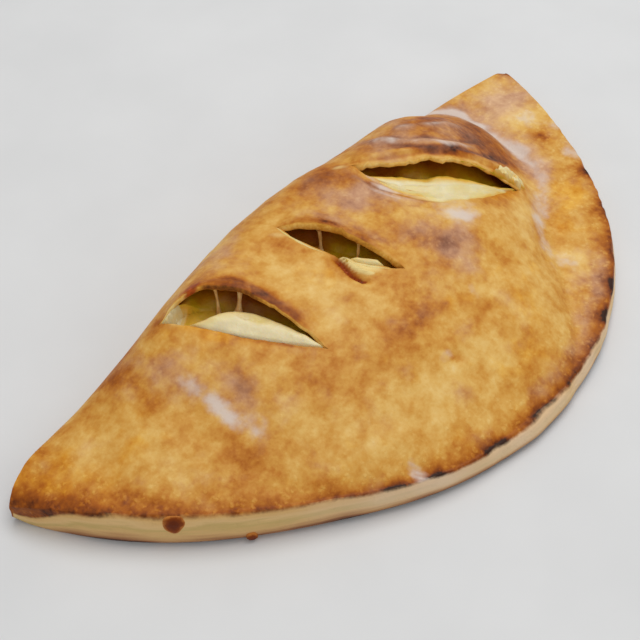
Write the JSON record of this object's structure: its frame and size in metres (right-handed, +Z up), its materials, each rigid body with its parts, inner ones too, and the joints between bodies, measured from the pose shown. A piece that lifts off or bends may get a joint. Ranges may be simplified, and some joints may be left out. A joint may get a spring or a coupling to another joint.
{
  "type": "calzone",
  "caption": "Half-moon baked calzone, a folded dough crust with slanted steam cuts that open onto a melted cheese filling, resting on its flat base.",
  "frame": {"origin": "on the flat base, under the middle of the bounding box", "axes": "+X along the fold towards the flat, pointed tip, +Y from the curved sealed edge towards the fold, +Z up"},
  "size_m": [0.2976, 0.1392, 0.0461],
  "materials": {
    "crust": "golden, unevenly browned baked dough with a slight sheen",
    "cheese": "moist, cream-white melted cheese"
  },
  "bodies": {
    "root": {"crust": "crust", "cheese_filling": "cheese"}
  },
  "joints": []
}
